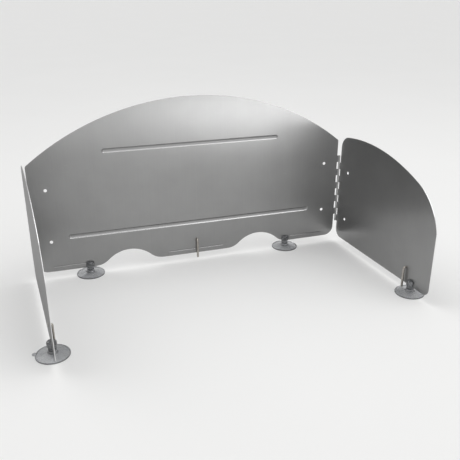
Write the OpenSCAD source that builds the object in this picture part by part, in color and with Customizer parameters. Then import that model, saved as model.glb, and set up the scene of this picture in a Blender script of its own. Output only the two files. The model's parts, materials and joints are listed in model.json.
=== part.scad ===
// Folding stove windscreen: a back panel, two hinged wings, suction cups and swing-down pegs.
// All sizes in mm. +Z is up, the table is z = 0 and the open front faces -Y.

/* [Back panel] */
// distance between the two hinge axes
hinge_span = 519; // [514:1:560]
// height of the back sheet at its middle
panel_h = 263; // [240:1:300]
// radius of the arched top edge
arch_r = 410; // [390:1:520]
// thickness of all three sheets
sheet_t = 0.8; // [0.6:0.1:1]
// bottom edge of the sheets above the table
ground_gap = 11.5; // [10:0.1:12]
// radius of the two bottom corners
foot_corner_r = 16; // [8:1:20]
// radius of the two top corners
top_corner_r = 3; // [1:0.5:6]

/* [Hose gaps] */
// middle of the panel to the middle of each gap
hose_gap_x = 111; // [106:1:114]
// half the width of a gap along the bottom edge
hose_gap_half = 55; // [48:1:58]
// height of a gap
hose_gap_h = 22; // [16:1:26]
// radius of the crown of a gap
hose_crown_r = 50; // [36:1:54]

/* [Hems] */
// height of the folded hems
hem_h = 8; // [5:0.5:10]
// space left inside the fold
hem_gap = 0.3; // [0.2:0.1:0.6]
// lean of the folded flap away from the sheet, in degrees
hem_lean = 2; // [0:0.5:5]
// rounding of the folded flap's front edge
hem_round = 0.7; // [0.3:0.1:0.7]
// half the length of the middle hem
mid_hem_half = 48; // [30:1:52]
// inner end of the side hems, from the hinge axis
side_hem_inner = 89; // [85.5:0.5:89.5]
// outer end of the side hems, from the hinge axis
side_hem_outer = 27.5; // [25.5:0.5:49.5]
// radius of the free corners of a hem
hem_corner_r = 1.5; // [0.5:0.5:3]

/* [Stiffening ribs] */
// depth of the pressed ribs
rib_depth = 2.1; // [1:0.1:3]
// half the width of the pressed ribs at the front face
rib_half_w = 3.6; // [3:0.1:5]
// half the length of the upper rib
upper_rib_half = 143.5; // [80:0.5:170]
// upper rib above the bottom edge
upper_rib_z = 188; // [160:1:200]
// half the length of the lower rib
lower_rib_half = 204; // [120:1:215]
// lower rib above the bottom edge
lower_rib_z = 55.7; // [48:0.1:70]

/* [Wings] */
// hinge axis to the front edge of a wing
wing_l = 258.8; // [235:0.1:259]
// top of the wing's arch, from the hinge axis
wing_crown_x = 76; // [60:1:100]
// top of the wing's arch above the bottom edge
wing_crown_z = 186.8; // [178:0.1:200]
// radius of the wing's arch
wing_arch_r = 335; // [300:1:400]
// where the arch turns into the shoulder, from the hinge axis
wing_shoulder_x = 209; // [195:1:215]
// radius of the shoulder
wing_shoulder_r = 86; // [80:1:110]
// radius of the corner at the top of the hinge edge
wing_top_r = 22; // [10:1:26]
// radius of the corner at the bottom of the hinge edge
wing_heel_r = 14; // [6:1:20]
// radius of the bottom front corner
wing_toe_r = 12; // [4:1:20]
// opening of the left wing from folded flat, in degrees
left_open = 86.6; // [60:0.1:120]
// opening of the right wing from folded flat, in degrees
right_open = 93.5; // [60:0.1:120]

/* [Hinges] */
// hinge axis to the edge of each sheet beside it
edge_gap = 3.8; // [3.4:0.1:5]
// number of knuckles on each sheet
knuckles = 5; // [3:1:5]
// length of one knuckle with its end gap
knuckle_pitch = 12; // [10:0.5:12]
// gap between neighbouring knuckles
knuckle_gap = 0.4; // [0.3:0.1:0.8]
// middle of the hinge above the bottom edge
hinge_mid_z = 86.5; // [80:0.5:92]
// diameter of the hinge wire
pin_d = 1.6; // [1.4:0.1:2.2]
// clearance around the hinge wire
pin_clear = 0.05; // [0.02:0.01:0.1]

/* [Tie holes] */
// diameter of the holes beside the hinges
tie_hole_d = 5; // [3:0.1:7]
// hinge axis to the holes
tie_hole_x = 28.5; // [18:0.5:40]
// height from the lower hole to the upper one
tie_hole_span = 84; // [60:1:100]

/* [Suction cups] */
// diameter of the cup's disc
cup_d = 44.2; // [38:0.1:48]
// thickness of the disc beside its rim
cup_rim_t = 1; // [0.8:0.1:1.6]
// radius of the rounded bead round the rim
cup_bead_r = 0.9; // [0.6:0.1:1]
// width of the flat ring that the cup stands on
cup_seat_w = 1.3; // [0.8:0.1:2]
// height of the hollow under the disc
cup_hollow_h = 3; // [2:0.1:3.6]
// disc surface where the stem starts, above the table
cup_stem_z = 4.2; // [4:0.1:4.6]
// radius of the stem where it starts
cup_stem_r = 9.2; // [8:0.1:9.4]
// diameter of the neck
cup_neck_d = 10.6; // [8:0.1:11]
// underside of the head above the table
cup_head_z = 12.6; // [12.2:0.1:13.2]
// diameter of the head
cup_head_d = 13.2; // [12:0.1:15]
// height of the cup
cup_h = 20.4; // [19:0.1:24]
// rounding of the head's top edge
cup_head_r = 2.5; // [1:0.1:3]
// rounding of the head's lower edge
cup_lip_r = 1; // [0.5:0.1:1.4]
// clearance of the slit on each side of the sheet
slit_clear = 0.15; // [0.05:0.05:0.3]
// clearance under the sheet's edge in the slit
seat_clear = 0.2; // [0.1:0.05:0.4]
// reach of the pull tab past the rim
cup_tab_l = 4.4; // [3:0.1:8]
// width of the pull tab
cup_tab_w = 6; // [4:0.1:10]
// turn of the pull tab from straight across the slit, in degrees
cup_tab_turn = 20; // [0:1:60]
// left cup on the back panel, from the hinge axis
back_left_cup_x = 83.5; // [44.5:0.5:83.5]
// right cup on the back panel, from the hinge axis
back_right_cup_x = 97; // [96.5:0.5:99.5]
// cup on the left wing, from the hinge axis
left_cup_x = 217.5; // [217.5:0.5:235]
// cup on the right wing, from the hinge axis
right_cup_x = 218.5; // [217.5:0.5:235]

/* [Pegs] */
// diameter of the peg wire
peg_d = 3.5; // [3:0.1:4]
// swing axis of the pegs above the bottom edge
peg_z = 24.7; // [20:0.1:32]
// lower end of the pegs above the table
peg_foot_z = 3.8; // [3.8:0.1:6]
// space between the hem and the peg wire
peg_hem_clear = 0.7; // [0.4:0.1:1]
// centreline radius of the bend
peg_bend_r = 2.6; // [2.2:0.1:3]
// clearance around the wire in its hole
peg_clear = 0.08; // [0.03:0.01:0.1]
// diameter of the upset end behind the sheet
peg_head_d = 5.2; // [4.6:0.1:6]
// thickness of the upset end
peg_head_t = 0.6; // [0.4:0.1:1.2]
// end play of the peg in the sheet
peg_play = 0.1; // [0.05:0.05:0.3]
// peg on the back panel, from the panel's middle
back_peg_x = 2; // [-20:1:20]
// pegs on the wings, from the hinge axis
wing_peg_x = 204; // [190:0.5:204]

/* [Hidden] */
$fn = 64;
eps = 0.01;
far = 1000;
sheet_metal = [0.72, 0.72, 0.71];
wire_metal = [0.55, 0.55, 0.56];
clear_vinyl = [0.85, 0.86, 0.87, 0.7];

// hinge: the curl's inner and outer radius, and the sheet's offset from the axis
curl_ri = pin_d/2 + pin_clear;
curl_ro = curl_ri + sheet_t;
sheet_off = curl_ri + sheet_t/2;
curl_end = 150;
hinge_x = hinge_span/2;
hinge_y = -sheet_off;
hinge_len = 2*knuckles*knuckle_pitch;
hinge_mid = ground_gap + hinge_mid_z;
hinge_top = hinge_mid + hinge_len/2;

// back panel outline
panel_half = hinge_x - edge_gap;
panel_top = ground_gap + panel_h;
arch_z = panel_top - arch_r;
hose_flare_r = (pow(hose_gap_half, 2) + pow(hose_gap_h, 2))/(2*hose_gap_h) - hose_crown_r;
hose_crown_z = ground_gap + hose_gap_h - hose_crown_r;

// hem: outer radius of the fold, the middle of the doubled edge, the flap's height and its reach
hem_ro = sheet_t + hem_gap/2;
hem_mid = -(sheet_t + hem_gap)/2;
flap_h = hem_h - hem_ro;
hem_reach = hem_ro*cos(hem_lean) + flap_h*sin(hem_lean);
hem_front = hem_mid - hem_reach;

// rib: radii of the pressed groove and the bead behind it
rib_ri = (pow(rib_half_w, 2) + pow(rib_depth, 2))/(2*rib_depth);
rib_ro = rib_ri + sheet_t;
rib_y = rib_depth - rib_ri - sheet_t/2;

// wing outline: the arch's centre and the shoulder's centre
arch_c = [wing_crown_x, ground_gap + wing_crown_z - wing_arch_r];
shoulder_a = acos((wing_shoulder_x - wing_crown_x)/wing_arch_r);
shoulder_c = arch_c + (wing_arch_r - wing_shoulder_r)*[cos(shoulder_a), sin(shoulder_a)];

// suction cup
cup_r = cup_d/2;
cup_hollow_r = cup_r - cup_seat_w;
cup_hollow_ball = (pow(cup_hollow_r, 2) + pow(cup_hollow_h, 2))/(2*cup_hollow_h);
cup_neck_cut = cup_stem_r - cup_neck_d/2;
cup_tab_reach = cup_r + cup_tab_l - cup_tab_w/2;
slit_sheet = sheet_t/2 + slit_clear;
slit_hem = hem_reach + slit_clear;

// peg: the wire stands clear of the hem
peg_r = peg_d/2;
peg_off = peg_hem_clear + peg_r - hem_front;
peg_axis_z = ground_gap + peg_z;

// frame: the origin is the middle of the whole at table level
left_turn = 180 - left_open;
right_turn = 180 - right_open;
function cup_span(tab_a) = max(cup_r, cup_tab_reach*sin(tab_a) + cup_tab_w/2);
function outer_x(cup_x, turn, tab_a) = hinge_x + cup_x*cos(turn) + sheet_off*sin(turn) + cup_span(tab_a);
function front_y(turn) = hinge_y - wing_l*sin(turn) + sheet_off*cos(turn) - sheet_t/2*abs(cos(turn));
right_end = outer_x(right_cup_x, right_turn, right_turn + cup_tab_turn);
left_end = outer_x(left_cup_x, left_turn, left_turn - cup_tab_turn);
mid_x = (right_end - left_end)/2;
mid_y = (cup_span(90 - cup_tab_turn) + min(front_y(left_turn), front_y(right_turn)))/2;

// corner rounding

// what a rounded corner of radius r takes away between the directions a0 and a1
module corner_waste(c, r, a0, a1) {
    reach = 4*r;
    mid_a = (a0 + a1)/2;
    translate(c)
        difference() {
            polygon([[0, 0], reach*[cos(a0), sin(a0)], 2*reach*[cos(mid_a), sin(mid_a)],
                     reach*[cos(a1), sin(a1)]]);
            circle(r);
        }
}

// hinge knuckles

// section of a sheet edge rolled round the hinge axis, with its tab towards -X
module curl() {
    translate([-edge_gap - eps, curl_ri])
        square([edge_gap + eps, sheet_t]);
    difference() {
        circle(curl_ro);
        circle(curl_ri);
        polygon([[0, 0], [0, 2*curl_ro], [-2*curl_ro, 2*curl_ro], 2*curl_ro*[cos(curl_end), sin(curl_end)]]);
    }
}

// every other knuckle, starting with number first from the top
module knuckle_row(first) {
    for (k = [first:2:2*knuckles - 1])
        translate([0, 0, hinge_top - (k + 1)*knuckle_pitch + knuckle_gap/2])
            linear_extrude(knuckle_pitch - knuckle_gap)
                curl();
}

module hinge_pin() {
    color(wire_metal)
        translate([0, 0, hinge_top - hinge_len])
            cylinder(d = pin_d, h = hinge_len);
}

// round hole through a sheet whose middle plane is y = 0
module sheet_hole(x, z, d) {
    translate([x, 0, z])
        rotate([90, 0, 0])
            cylinder(d = d, h = 4*sheet_t, center = true);
}

// two tie holes, shifted from the hinge's middle
module tie_holes(x, shift) {
    for (side = [-1, 1])
        sheet_hole(x, hinge_mid + shift + side*tie_hole_span/2, tie_hole_d);
}

// back panel

// bell-shaped gap in the bottom edge that a gas hose passes through
module hose_gap() {
    join_a = asin(hose_gap_half/(hose_crown_r + hose_flare_r));
    join = hose_crown_r*[sin(join_a), cos(join_a)];
    intersection() {
        translate([0, hose_crown_z])
            circle(hose_crown_r);
        translate([-join[0], ground_gap - eps])
            square([2*join[0], hose_gap_h + 2*eps]);
    }
    for (side = [0, 1])
        mirror([side, 0])
            difference() {
                translate([0, ground_gap - eps])
                    square([hose_gap_half, hose_crown_z + join[1] - ground_gap + eps]);
                translate([hose_gap_half, ground_gap + hose_flare_r])
                    circle(hose_flare_r);
            }
}

module back_outline() {
    top_c = [panel_half - top_corner_r,
             arch_z + sqrt(pow(arch_r - top_corner_r, 2) - pow(panel_half - top_corner_r, 2))];
    foot_c = [panel_half - foot_corner_r, ground_gap + foot_corner_r];
    difference() {
        intersection() {
            translate([0, arch_z])
                circle(arch_r, $fn = 256);
            translate([-panel_half, ground_gap])
                square([2*panel_half, far]);
        }
        for (side = [0, 1])
            mirror([side, 0]) {
                translate([hose_gap_x, 0])
                    hose_gap();
                corner_waste(foot_c, foot_corner_r, -90, 0);
                corner_waste(top_c, top_corner_r, 0, asin((top_c[1] - arch_z)/(arch_r - top_corner_r)));
            }
    }
}

// section of a fold and its leaning flap, about the middle of the fold
module hem_section() {
    difference() {
        circle(hem_ro);
        circle(hem_gap/2);
        for (turn = [0, hem_lean])
            rotate(turn)
                translate([-far/2, 0])
                    square([far, far]);
    }
    rotate(hem_lean)
        difference() {
            translate([-hem_ro, 0])
                square([sheet_t, flap_h]);
            corner_waste([hem_round - hem_ro, flap_h - hem_round], hem_round, 90, 180);
        }
}

// bottom edge folded up over the front face between x0 and x1
module hem(x0, x1) {
    corner_z = flap_h - hem_corner_r;
    difference() {
        translate([x0, 0, 0])
            rotate([90, 0, 90])
                linear_extrude(x1 - x0)
                    translate([hem_mid, ground_gap + hem_ro])
                        hem_section();
        translate([0, hem_mid, ground_gap + hem_ro])
            rotate([90 + hem_lean, 0, 0])
                linear_extrude(2*hem_ro) {
                    corner_waste([x0 + hem_corner_r, corner_z], hem_corner_r, 90, 180);
                    corner_waste([x1 - hem_corner_r, corner_z], hem_corner_r, 0, 90);
                }
    }
}

// the sheet's square edge that a hem's fold takes the place of
module hem_trim(x0, x1) {
    translate([x0, -sheet_t, ground_gap - eps])
        cube([x1 - x0, 2*sheet_t, hem_ro + eps]);
}

// round-ended bar along X, ending at half on both sides
module rib_bar(r, half, z) {
    end = half - rib_half_w;
    translate([0, rib_y, z]) {
        rotate([0, 90, 0])
            cylinder(r = r, h = 2*end, center = true);
        for (side = [-1, 1])
            translate([side*end, 0, 0])
                sphere(r);
    }
}

// bead behind the sheet
module rib_bead(half, z) {
    intersection() {
        rib_bar(rib_ro, half, z);
        translate([-far/2, 0, z - far/2])
            cube(far);
    }
}

module back_sheet() {
    side_hem = [hinge_x - side_hem_inner, hinge_x - side_hem_outer];
    hems = [[-side_hem[1], -side_hem[0]], [-mid_hem_half, mid_hem_half], side_hem];
    ribs = [[upper_rib_half, ground_gap + upper_rib_z], [lower_rib_half, ground_gap + lower_rib_z]];
    color(sheet_metal) {
        difference() {
            union() {
                rotate([90, 0, 0])
                    linear_extrude(sheet_t, center = true)
                        back_outline();
                for (r = ribs)
                    rib_bead(r[0], r[1]);
            }
            for (r = ribs)
                rib_bar(rib_ri, r[0], r[1]);
            for (h = hems)
                hem_trim(h[0], h[1]);
            for (side = [-1, 1])
                tie_holes(side*(hinge_x - tie_hole_x), knuckle_pitch/2);
            sheet_hole(back_peg_x, peg_axis_z, peg_d + 2*peg_clear);
        }
        for (h = hems)
            hem(h[0], h[1]);
        for (side = [0, 1])
            mirror([side, 0, 0])
                translate([hinge_x, hinge_y, 0])
                    knuckle_row(0);
    }
}

// wings, drawn from the hinge axis along +X with the outer face towards +Y

module wing_outline() {
    top_c = [edge_gap + wing_top_r,
             arch_c[1] + sqrt(pow(wing_arch_r - wing_top_r, 2) - pow(edge_gap + wing_top_r - arch_c[0], 2))];
    difference() {
        union() {
            intersection() {
                translate(arch_c)
                    circle(wing_arch_r, $fn = 256);
                translate([edge_gap, ground_gap])
                    square([wing_shoulder_x - edge_gap, far]);
            }
            intersection() {
                translate(shoulder_c)
                    circle(wing_shoulder_r, $fn = 128);
                translate([wing_shoulder_x - eps, shoulder_c[1] - eps])
                    square([wing_l - wing_shoulder_x + eps, far]);
            }
            translate([wing_shoulder_x - eps, ground_gap])
                square([wing_l - wing_shoulder_x + eps, shoulder_c[1] - ground_gap]);
        }
        corner_waste(top_c, wing_top_r, 180, 180 - asin((top_c[1] - arch_c[1])/(wing_arch_r - wing_top_r)));
        corner_waste([edge_gap + wing_heel_r, ground_gap + wing_heel_r], wing_heel_r, 180, 270);
        corner_waste([wing_l - wing_toe_r, ground_gap + wing_toe_r], wing_toe_r, -90, 0);
    }
}

module wing() {
    color(sheet_metal) {
        translate([0, sheet_off, 0])
            difference() {
                rotate([90, 0, 0])
                    linear_extrude(sheet_t, center = true)
                        wing_outline();
                tie_holes(tie_hole_x, -knuckle_pitch/2);
                sheet_hole(wing_peg_x, peg_axis_z, peg_d + 2*peg_clear);
            }
        mirror([1, 0, 0])
            knuckle_row(1);
    }
}

// suction cup

// half section of the disc, stem and head
module cup_section() {
    difference() {
        union() {
            polygon([[0, 0], [cup_r, 0], [cup_r, cup_bead_r], [cup_r - 2*cup_bead_r, cup_rim_t],
                     [cup_stem_r, cup_stem_z], [0, cup_stem_z]]);
            translate([cup_r - cup_bead_r, cup_bead_r])
                circle(cup_bead_r);
            translate([0, cup_stem_z - eps])
                square([cup_stem_r, cup_head_z - cup_stem_z + 2*eps]);
        }
        translate([cup_stem_r, cup_stem_z + cup_neck_cut])
            circle(cup_neck_cut);
        translate([cup_neck_d/2, cup_stem_z + cup_neck_cut])
            square([cup_r, cup_h]);
        translate([0, cup_hollow_h - cup_hollow_ball])
            circle(cup_hollow_ball, $fn = 128);
        translate([-far, -far/2])
            square([far, far]);
    }
    translate([0, cup_head_z])
        square([cup_head_d/2 - cup_lip_r, cup_h - cup_head_z - cup_head_r]);
    translate([0, cup_head_z + cup_lip_r])
        square([cup_head_d/2, cup_h - cup_head_z - cup_head_r - cup_lip_r]);
    translate([0, cup_head_z + cup_lip_r])
        square([cup_head_d/2 - cup_head_r, cup_h - cup_head_z - cup_lip_r]);
    translate([cup_head_d/2 - cup_lip_r, cup_head_z + cup_lip_r])
        circle(cup_lip_r);
    translate([cup_head_d/2 - cup_head_r, cup_h - cup_head_r])
        circle(cup_head_r);
}

// cup on the middle plane of the edge that it grips, with its tab on the +Y side
module cup(slit_half) {
    tab_root = cup_hollow_r + cup_seat_w/2;
    color(clear_vinyl)
        difference() {
            union() {
                rotate_extrude()
                    cup_section();
                rotate([0, 0, -cup_tab_turn]) {
                    translate([-cup_tab_w/2, tab_root, 0])
                        cube([cup_tab_w, cup_tab_reach - tab_root, cup_rim_t]);
                    translate([0, cup_tab_reach, 0])
                        cylinder(d = cup_tab_w, h = cup_rim_t);
                }
            }
            translate([-cup_head_d, -slit_half, ground_gap - seat_clear])
                cube([2*cup_head_d, 2*slit_half, cup_h]);
        }
}

// peg: wire bent through the sheet, on a sheet whose middle plane is y = 0

module peg() {
    leg_y = peg_bend_r - peg_off;
    head_y = sheet_t/2 + peg_play;
    color(wire_metal) {
        translate([0, head_y, peg_axis_z])
            rotate([90, 0, 0])
                cylinder(r = peg_r, h = head_y - leg_y);
        translate([0, head_y + peg_head_t, peg_axis_z])
            rotate([90, 0, 0])
                cylinder(d = peg_head_d, h = peg_head_t);
        translate([0, leg_y, peg_axis_z - peg_bend_r])
            rotate([90, 0, -90])
                rotate_extrude(angle = 90)
                    translate([peg_bend_r, 0])
                        circle(peg_r);
        translate([0, -peg_off, peg_foot_z + peg_r])
            cylinder(r = peg_r, h = peg_axis_z - peg_bend_r - peg_foot_z - peg_r);
        translate([0, -peg_off, peg_foot_z + peg_r])
            sphere(peg_r);
    }
}

// placing

module in_frame() {
    translate([-mid_x, -mid_y, 0])
        children();
}

module at_right_hinge() {
    in_frame()
        translate([hinge_x, hinge_y, 0])
            children();
}

module at_left_hinge() {
    in_frame()
        mirror([1, 0, 0])
            translate([hinge_x, hinge_y, 0])
                children();
}

module on_right_wing() {
    at_right_hinge()
        rotate([0, 0, -right_turn])
            children();
}

module on_left_wing() {
    at_left_hinge()
        rotate([0, 0, -left_turn])
            children();
}

// sub-parts in place

module back_panel() {
    in_frame()
        back_sheet();
}

module left_wing() {
    on_left_wing()
        wing();
}

module right_wing() {
    on_right_wing()
        wing();
}

module left_hinge_pin() {
    at_left_hinge()
        hinge_pin();
}

module right_hinge_pin() {
    at_right_hinge()
        hinge_pin();
}

module back_left_cup() {
    in_frame()
        translate([back_left_cup_x - hinge_x, hem_mid, 0])
            cup(slit_hem);
}

module back_right_cup() {
    in_frame()
        translate([hinge_x - back_right_cup_x, 0, 0])
            cup(slit_sheet);
}

// mirrored back, because all four cups are the same moulding
module left_wing_cup() {
    on_left_wing()
        translate([left_cup_x, sheet_off, 0])
            mirror([1, 0, 0])
                cup(slit_sheet);
}

module right_wing_cup() {
    on_right_wing()
        translate([right_cup_x, sheet_off, 0])
            cup(slit_sheet);
}

module back_peg() {
    in_frame()
        translate([back_peg_x, 0, 0])
            peg();
}

module left_wing_peg() {
    on_left_wing()
        translate([wing_peg_x, sheet_off, 0])
            peg();
}

module right_wing_peg() {
    on_right_wing()
        translate([wing_peg_x, sheet_off, 0])
            peg();
}

back_panel();
left_wing();
right_wing();
left_hinge_pin();
right_hinge_pin();
back_left_cup();
back_right_cup();
left_wing_cup();
right_wing_cup();
back_peg();
left_wing_peg();
right_wing_peg();
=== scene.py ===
import json
import math

import bpy
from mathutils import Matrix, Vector

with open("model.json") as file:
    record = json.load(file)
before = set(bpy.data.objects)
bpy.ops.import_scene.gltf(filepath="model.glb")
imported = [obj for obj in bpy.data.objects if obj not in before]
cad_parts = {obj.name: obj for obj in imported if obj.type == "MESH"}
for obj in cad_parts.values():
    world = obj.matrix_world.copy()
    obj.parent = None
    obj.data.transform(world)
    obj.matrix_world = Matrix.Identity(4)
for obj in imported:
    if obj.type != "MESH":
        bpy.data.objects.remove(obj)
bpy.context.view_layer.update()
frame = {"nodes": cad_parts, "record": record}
nodes = frame["nodes"]
mounts = {mount["name"]: mount for mount in frame["record"]["mounts"]}

MM = 0.001
WHITE = "ffffff"

# sockets of a colour Mix node: how much of the second colour, the first and the second
PART, FIRST, SECOND = 0, 6, 7

FLOOR_SIZE = 60
FLOOR_DROP = 0.2 * MM
FLOOR_GLOW = 0.2
SKY_LIGHT = 0.44
SKY_SEEN = 0.8
SUN_SPREAD = math.radians(50)

CAMERA_PLACE = (-0.252459, -0.782207, 0.436296)
CAMERA_TILT = math.radians(67.535)
CAMERA_TURN = math.radians(-18.443)
SENSOR_MM = 36
LENS_MM = 47.16
NEAREST, FARTHEST = 0.01, 50


# colours and nodes


def colour(code):
    """Linear colour of an sRGB hex code."""
    def linear(c):
        return c / 12.92 if c <= 0.04045 else ((c + 0.055) / 1.055) ** 2.4
    return tuple(linear(int(code[i:i + 2], 16) / 255) for i in (0, 2, 4)) + (1.0,)


def per_mm(*sizes):
    """Pattern scale at which one cell has the given size in millimetres on each axis."""
    return tuple(1 / (size * MM) for size in sizes)


def add(tree, kind, values=(), **settings):
    """A new node with its settings and inputs, which are plain values, or nodes and sockets to link."""
    made = tree.nodes.new(kind)
    for key, value in settings.items():
        setattr(made, key, value)
    for key, value in dict(values).items():
        if isinstance(value, bpy.types.Node):
            value = next(socket for socket in value.outputs if socket.enabled)
        if isinstance(value, bpy.types.NodeSocket):
            tree.links.new(value, made.inputs[key])
        else:
            made.inputs[key].default_value = value
    return made


def new_material(name):
    """An empty material and its node tree."""
    material = bpy.data.materials.new(name)
    material.use_nodes = True
    material.node_tree.nodes.clear()
    return material, material.node_tree


# materials


def rolled_aluminium(name, across):
    """Bright rolled aluminium sheet, sheared and pressed. The rolls leave fine upright lines, which
    spread a reflection sideways, and the sheet's slight waves bend it. Handling leaves faint smudges
    and scratches. The edges and tight folds are glossier, and they and the rib flanks are painted paler
    as a painted highlight."""
    material, tree = new_material(name)
    place = add(tree, "ShaderNodeTexCoord")
    turn = math.atan2(across[0], -across[1])
    flat = add(tree, "ShaderNodeMapping", {
        "Vector": place.outputs["Object"], "Rotation": (0, 0, -turn)})

    # roll lines 0.4 mm apart and 125 mm long: the real ones are finer, and would not show
    lines_at = add(tree, "ShaderNodeMapping", {"Vector": flat, "Scale": per_mm(0.4, 3.3, 125)})
    lines = add(tree, "ShaderNodeTexNoise", {
        "Vector": lines_at, "Scale": 1.0, "Detail": 3.0, "Roughness": 0.6})
    # slanting scratches about 30 mm long and 0.9 mm apart, of which few are deep enough to see
    slant = (0, 0.3, 0)
    scratch_at = add(tree, "ShaderNodeMapping", {
        "Vector": flat, "Rotation": slant, "Scale": per_mm(33, 17, 0.9)})
    scratch_field = add(tree, "ShaderNodeTexNoise", {
        "Vector": scratch_at, "Scale": 1.0, "Detail": 1.0})
    scratch = add(tree, "ShaderNodeMapRange", {
        "Value": scratch_field, "From Min": 0.76, "From Max": 0.82})
    # smudges of a fingertip to a hand, and waves wider than a hand
    smudge = add(tree, "ShaderNodeTexNoise", {
        "Vector": place.outputs["Object"], "Scale": per_mm(45)[0], "Detail": 4.0, "Roughness": 0.55})
    waves = add(tree, "ShaderNodeTexNoise", {
        "Vector": place.outputs["Object"], "Scale": per_mm(170)[0], "Detail": 1.0})

    # 1 on the sheared edges and tight folds, whose faces turn away from the sheet's, and partly on the
    # slanting rib flanks: where the highlight is painted and the edges are glossier
    facing = add(tree, "ShaderNodeVectorMath", {0: place.outputs["Normal"], 1: tuple(across)},
                 operation="DOT_PRODUCT").outputs["Value"]
    facing = add(tree, "ShaderNodeMath", {0: facing}, operation="ABSOLUTE")
    edge_and_painted_highlight = add(tree, "ShaderNodeMapRange", {
        "Value": facing, "From Min": 0.2, "From Max": 0.85, "To Min": 1.0, "To Max": 0.0})

    smudged = add(tree, "ShaderNodeMapRange", {"Value": smudge, "From Min": 0.3, "From Max": 0.7})
    skin = add(tree, "ShaderNodeMix", {
        PART: smudged, FIRST: colour("979797"), SECOND: colour("9d9d9d")}, data_type="RGBA")
    lined = add(tree, "ShaderNodeMapRange", {
        "Value": lines, "From Min": 0.3, "From Max": 0.7, "To Max": 0.2})
    skin = add(tree, "ShaderNodeMix", {
        PART: lined, FIRST: skin, SECOND: colour("ababab")}, data_type="RGBA")
    scratched = add(tree, "ShaderNodeMath", {0: scratch, 1: 0.35}, operation="MULTIPLY")
    skin = add(tree, "ShaderNodeMix", {
        PART: scratched, FIRST: skin, SECOND: colour("c6c6c6")}, data_type="RGBA")
    # painted highlight: the edges, folds and rib flanks are painted pale in place of the light that
    # catches them
    skin = add(tree, "ShaderNodeMix", {
        PART: edge_and_painted_highlight, FIRST: skin, SECOND: colour("e4e4e4")}, data_type="RGBA")

    gloss = add(tree, "ShaderNodeMapRange", {
        "Value": lines, "From Min": 0.3, "From Max": 0.7, "To Min": 0.3, "To Max": 0.304})
    dulled = add(tree, "ShaderNodeMapRange", {
        "Value": smudge, "From Min": 0.4, "From Max": 0.75, "To Max": 0.004})
    gloss = add(tree, "ShaderNodeMath", {0: gloss, 1: dulled}, operation="ADD")
    burnish = -0.12
    gloss = add(tree, "ShaderNodeMath", {0: edge_and_painted_highlight, 1: burnish, 2: gloss}, operation="MULTIPLY_ADD")

    wavy = add(tree, "ShaderNodeBump", {"Strength": 1.0, "Distance": 0.2 * MM, "Height": waves})
    relief = add(tree, "ShaderNodeMath", {0: lines, 1: scratch}, operation="SUBTRACT")
    fine = add(tree, "ShaderNodeBump", {
        "Strength": 0.1, "Distance": 0.0005 * MM, "Height": relief, "Normal": wavy})

    sideways = add(tree, "ShaderNodeTangent", direction_type="RADIAL", axis="Z")
    shader = add(tree, "ShaderNodeBsdfPrincipled", {
        "Base Color": skin, "Metallic": 1.0, "Roughness": gloss, "Specular Tint": colour("c8c8c8"),
        "Anisotropic": 0.8, "Tangent": sideways, "Normal": fine})
    add(tree, "ShaderNodeOutputMaterial", {"Surface": shader})
    return material


def drawn_steel(name):
    """Drawn steel wire. The die leaves bright lines along it, and the bare steel has dull spots."""
    material, tree = new_material(name)
    place = add(tree, "ShaderNodeTexCoord").outputs["Object"]
    # draw lines 0.25 mm apart and 11 mm long: the real ones are finer, and would not show
    lines_at = add(tree, "ShaderNodeMapping", {"Vector": place, "Scale": per_mm(0.25, 0.25, 11)})
    lines = add(tree, "ShaderNodeTexNoise", {"Vector": lines_at, "Scale": 1.0, "Detail": 2.0})
    # dull spots of about 2.4 mm
    spots = add(tree, "ShaderNodeTexNoise", {
        "Vector": place, "Scale": per_mm(2.4)[0], "Detail": 3.0, "Roughness": 0.6})

    spotted = add(tree, "ShaderNodeMapRange", {"Value": spots, "From Min": 0.4, "From Max": 0.7})
    skin = add(tree, "ShaderNodeMix", {
        PART: spotted, FIRST: colour("b2aea8"), SECOND: colour("9f9890")}, data_type="RGBA")
    gloss = add(tree, "ShaderNodeMapRange", {
        "Value": lines, "From Min": 0.3, "From Max": 0.7, "To Min": 0.2, "To Max": 0.32})
    dulled = add(tree, "ShaderNodeMapRange", {
        "Value": spots, "From Min": 0.5, "From Max": 0.75, "To Max": 0.08})
    gloss = add(tree, "ShaderNodeMath", {0: gloss, 1: dulled}, operation="ADD")
    grooves = add(tree, "ShaderNodeBump", {"Strength": 0.2, "Distance": 0.02 * MM, "Height": lines})
    shader = add(tree, "ShaderNodeBsdfPrincipled", {
        "Base Color": skin, "Metallic": 1.0, "Roughness": gloss, "Normal": grooves})
    add(tree, "ShaderNodeOutputMaterial", {"Surface": shader})
    return material


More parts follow.
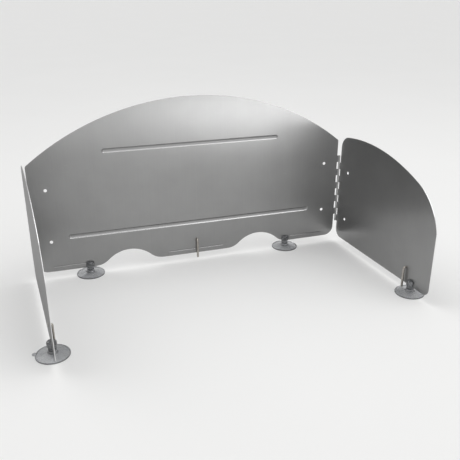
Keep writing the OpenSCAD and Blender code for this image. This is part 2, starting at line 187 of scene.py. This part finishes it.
def clear_vinyl(name):
    """Clear soft vinyl, moulded. It is glossy, clear where it is thin and grey where it is thick, and
    its skin is slightly wavy and hazy, with a little dust."""
    material, tree = new_material(name)
    place = add(tree, "ShaderNodeTexCoord").outputs["Object"]
    # haze in patches of 6 mm and waves of 1.1 mm
    haze = add(tree, "ShaderNodeTexNoise", {
        "Vector": place, "Scale": per_mm(6)[0], "Detail": 3.0, "Roughness": 0.6})
    waves = add(tree, "ShaderNodeTexNoise", {"Vector": place, "Scale": per_mm(1.1)[0], "Detail": 2.0})
    # dust of 0.4 mm, which is coarser than real dust so that it shows
    dust_field = add(tree, "ShaderNodeTexNoise", {
        "Vector": place, "Scale": per_mm(0.4)[0], "Detail": 1.0})
    dust = add(tree, "ShaderNodeMapRange", {"Value": dust_field, "From Min": 0.72, "From Max": 0.78})

    hazy = add(tree, "ShaderNodeMapRange", {"Value": haze, "From Min": 0.35, "From Max": 0.7})
    skin = add(tree, "ShaderNodeMix", {
        PART: hazy, FIRST: colour("dddee0"), SECOND: colour("d0d2d4")}, data_type="RGBA")
    dusty = add(tree, "ShaderNodeMath", {0: dust, 1: 0.2}, operation="MULTIPLY")
    skin = add(tree, "ShaderNodeMix", {
        PART: dusty, FIRST: skin, SECOND: colour("b8b6b0")}, data_type="RGBA")
    gloss = add(tree, "ShaderNodeMapRange", {
        "Value": haze, "From Min": 0.3, "From Max": 0.7, "To Min": 0.14, "To Max": 0.2})
    dust_dulling = 0.1
    gloss = add(tree, "ShaderNodeMath", {0: dust, 1: dust_dulling, 2: gloss}, operation="MULTIPLY_ADD")
    wavy = add(tree, "ShaderNodeBump", {"Strength": 0.05, "Distance": 0.03 * MM, "Height": waves})
    shader = add(tree, "ShaderNodeBsdfPrincipled", {
        "Base Color": skin, "Roughness": gloss, "IOR": 1.52, "Transmission Weight": 0.9,
        "Normal": wavy})
    body = add(tree, "ShaderNodeVolumeAbsorption", {"Color": colour("8c8e92"), "Density": 125.0})
    add(tree, "ShaderNodeOutputMaterial", {"Surface": shader, "Volume": body})
    return material


def dress(name, material):
    """Gives a CAD piece its one material."""
    piece = nodes[name]
    piece.data.materials.clear()
    piece.data.materials.append(material)


dress("back_panel", rolled_aluminium("rolled_aluminium_back", (0, -1, 0)))
for side in ("left", "right"):
    across = mounts[side + "_wing_upper_hole"]["axis"]
    dress(side + "_wing", rolled_aluminium("rolled_aluminium_" + side, across))
wire = drawn_steel("drawn_steel_wire")
for name in ("left_hinge_pin", "right_hinge_pin", "back_peg", "left_wing_peg", "right_wing_peg"):
    dress(name, wire)
vinyl = clear_vinyl("clear_moulded_vinyl")
for name in ("back_left_cup", "back_right_cup", "left_wing_cup", "right_wing_cup"):
    dress(name, vinyl)


# stage


def shows_background(tree):
    """1 for the rays that see the studio itself or its image in metal and clear plastic, and 0 for
    its light."""
    rays = add(tree, "ShaderNodeLightPath").outputs
    mirrored = add(tree, "ShaderNodeMath", {
        0: rays["Is Glossy Ray"], 1: rays["Is Transmission Ray"]}, operation="MAXIMUM")
    return add(tree, "ShaderNodeMath", {0: rays["Is Camera Ray"], 1: mirrored}, operation="MAXIMUM")


def white_paper(name):
    """Matt white paper. Part of it glows white, so that it looks pale all over and keeps soft
    shadows."""
    material, tree = new_material(name)
    place = add(tree, "ShaderNodeTexCoord").outputs["Object"]
    # faint clouds of 330 mm
    cloud = add(tree, "ShaderNodeTexNoise", {"Vector": place, "Scale": per_mm(330)[0]})
    tone = add(tree, "ShaderNodeMix", {
        PART: cloud, FIRST: colour("eeeeed"), SECOND: colour("f1f1f0")}, data_type="RGBA")
    paper = add(tree, "ShaderNodeBsdfPrincipled", {
        "Base Color": tone, "Roughness": 0.9, "Specular IOR Level": 0.1})
    glow = add(tree, "ShaderNodeEmission", {"Color": colour(WHITE), "Strength": 1.0})
    part = add(tree, "ShaderNodeMath", {0: shows_background(tree), 1: FLOOR_GLOW},
               operation="MULTIPLY")
    floor_mix = add(tree, "ShaderNodeMixShader", {0: part, 1: paper, 2: glow})
    add(tree, "ShaderNodeOutputMaterial", {"Surface": floor_mix})
    return material


def hang(name, light, place, heading):
    """Puts a light in the scene at a place, shining along its heading."""
    lamp = bpy.data.objects.new(name, light)
    bpy.context.scene.collection.objects.link(lamp)
    lamp.location = place
    lamp.rotation_euler = Vector(heading).to_track_quat("-Z", "Y").to_euler()
    return lamp


def softbox(name, place, target, size, power):
    """A flat lamp that shines from its place at its target. The camera doesn't see it, but metal
    does."""
    light = bpy.data.lights.new(name, "AREA")
    light.shape = "RECTANGLE"
    light.size, light.size_y = size
    light.energy = power
    hang(name, light, place, Vector(target) - Vector(place)).visible_camera = False


def soft_sun(name, heading, strength):
    """Even light from one side, as soft as from a large window."""
    light = bpy.data.lights.new(name, "SUN")
    light.energy = strength
    light.angle = SUN_SPREAD
    hang(name, light, (0, 0, 0), heading)


bpy.ops.object.select_all(action="DESELECT")
bpy.ops.mesh.primitive_plane_add(size=FLOOR_SIZE, location=(0, 0, -FLOOR_DROP))
floor = bpy.context.object
floor.name = "floor"
floor.data.materials.append(white_paper("white_paper"))

softbox("front_box", (0.3, -2.4, 1.7), (0, 0, 0.1), (2.2, 2.2), 5)
# the top box brightens the ribs and hems
softbox("top_box", (0.3, 0.1, 1.5), (0.3, 0.1, 0), (1.4, 1.0), 5)
# these lie on the floor and face up, and the sheet mirrors them
softbox("low_box", (0.65, -1.15, 0.002), (0.65, -1.15, 1), (0.9, 0.5), 6.6)
softbox("near_box", (0.45, -0.75, 0.002), (0.45, -0.75, 1), (0.6, 0.3), 0.93)
softbox("rear_box", (0, 1.35, 0.002), (0, 1.35, 1), (2.6, 0.5), 7)

soft_sun("key", (0.55, -0.6, -1.0), 0.8)
soft_sun("fill", (-0.7, 0.5, -1.0), 0.68)

world = bpy.data.worlds.new("studio")
bpy.context.scene.world = world
world.use_nodes = True
tree = world.node_tree
tree.nodes.clear()
level = add(tree, "ShaderNodeMapRange", {
    "Value": shows_background(tree), "To Min": SKY_LIGHT, "To Max": SKY_SEEN})
sky = add(tree, "ShaderNodeBackground", {"Color": colour(WHITE), "Strength": level})
add(tree, "ShaderNodeOutputWorld", {"Surface": sky})

lens = bpy.data.cameras.new("camera")
lens.sensor_width = SENSOR_MM
lens.lens = LENS_MM
lens.clip_start, lens.clip_end = NEAREST, FARTHEST
camera = bpy.data.objects.new("camera", lens)
bpy.context.scene.collection.objects.link(camera)
camera.location = CAMERA_PLACE
camera.rotation_euler = (CAMERA_TILT, 0, CAMERA_TURN)
bpy.context.scene.camera = camera
bpy.context.scene.view_settings.view_transform = "Standard"
